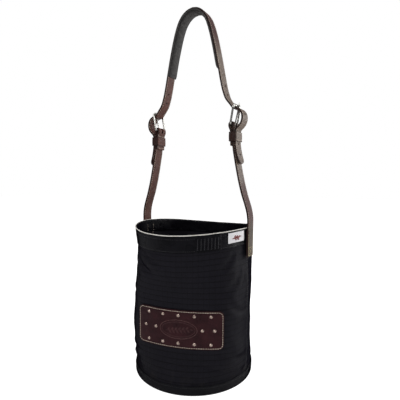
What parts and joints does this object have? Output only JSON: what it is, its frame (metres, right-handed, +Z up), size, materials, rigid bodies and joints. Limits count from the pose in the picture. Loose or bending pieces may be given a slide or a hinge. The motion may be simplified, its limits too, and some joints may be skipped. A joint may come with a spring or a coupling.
{
  "type": "garden tool bag",
  "caption": "Round open-topped fabric bag with a riveted leather front patch and a buckled, padded leather carry strap that swings on the rim.",
  "frame": {"origin": "centre of the round base on the resting plane", "axes": "+Z up out of the mouth, strap sewn to the rim at -X (left) and +X (right), patch side of the bag towards -Y"},
  "size_m": [0.2968, 0.2868, 0.858],
  "materials": {
    "bag_fabric": "charcoal grid-woven nylon, low sheen",
    "webbing": "black woven webbing, slight gloss",
    "spring_wire": "plain spring wire",
    "piping": "cream bound cord",
    "board": "stiffener sheet",
    "patch_leather": "burgundy leather, soft sheen",
    "thread": "cream waxed thread",
    "dark_thread": "black thread",
    "stud_metal": "antique finish",
    "label_cloth": "plain white woven label",
    "strap_leather": "dark brown-burgundy leather, polished face",
    "foam": "closed-cell foam",
    "pad_fabric": "charcoal woven pad cover",
    "buckle_metal": "polished nickel"
  },
  "bodies": {
    "bag": {"wall_panel_front": "bag_fabric", "wall_panel_back": "bag_fabric", "side_seam_left": "webbing", "side_seam_right": "webbing", "rim_binding": "webbing", "rim_hoop": "spring_wire", "rim_piping": "piping", "band_lap_stitching": "webbing", "base_disc": "bag_fabric", "base_board": "board", "base_binding": "webbing", "front_patch": "patch_leather", "patch_stitching": "thread", "patch_studs": "stud_metal", "stud_backs": "stud_metal", "blank_label": "label_cloth", "label_stitching": "thread", "strap_tab_left": "strap_leather", "strap_tab_right": "strap_leather", "tab_stitching_left": "thread", "tab_stitching_right": "thread"},
    "strap": {"lower_strap_outer_left": "strap_leather", "lower_strap_outer_right": "strap_leather", "lower_strap_lining_left": "strap_leather", "lower_strap_lining_right": "strap_leather", "lower_strap_stitching_left": "thread", "lower_strap_stitching_right": "thread", "keeper_left": "strap_leather", "keeper_right": "strap_leather", "upper_strap_outer": "strap_leather", "upper_strap_lining": "strap_leather", "upper_strap_stitching": "thread", "pad_foam": "foam", "pad_cover": "pad_fabric", "pad_stitching": "dark_thread"},
    "buckle_left": {"buckle_frame_left": "buckle_metal"},
    "tongue_left": {"buckle_tongue_left": "buckle_metal"},
    "roller_left": {"buckle_roller_left": "buckle_metal"},
    "buckle_right": {"buckle_frame_right": "buckle_metal"},
    "tongue_right": {"buckle_tongue_right": "buckle_metal"},
    "roller_right": {"buckle_roller_right": "buckle_metal"}
  },
  "joints": [
    {"name": "strap_swing", "type": "hinge", "parent": "bag", "child": "strap", "pos_m": [0, 0, 0.3518], "axis": [1, 0, 0], "range_deg": [-100, 100]},
    {"name": "buckle_tilt_left", "type": "hinge", "parent": "strap", "child": "buckle_left", "pos_m": [-0.103, 0, 0.579], "axis": [0, -1, 0], "range_deg": [0, 4]},
    {"name": "tongue_lift_left", "type": "hinge", "parent": "buckle_left", "child": "tongue_left", "pos_m": [-0.103, 0, 0.579], "axis": [0, -1, 0], "range_deg": [0, 4]},
    {"name": "roller_spin_left", "type": "hinge", "parent": "buckle_left", "child": "roller_left", "pos_m": [-0.11029, 0, 0.62036], "axis": [0, 1, 0], "continuous": true},
    {"name": "buckle_tilt_right", "type": "hinge", "parent": "strap", "child": "buckle_right", "pos_m": [0.103, 0, 0.579], "axis": [0, 1, 0], "range_deg": [0, 4]},
    {"name": "tongue_lift_right", "type": "hinge", "parent": "buckle_right", "child": "tongue_right", "pos_m": [0.103, 0, 0.579], "axis": [0, 1, 0], "range_deg": [0, 4]},
    {"name": "roller_spin_right", "type": "hinge", "parent": "buckle_right", "child": "roller_right", "pos_m": [0.11029, 0, 0.62036], "axis": [0, 1, 0], "continuous": true}
  ]
}
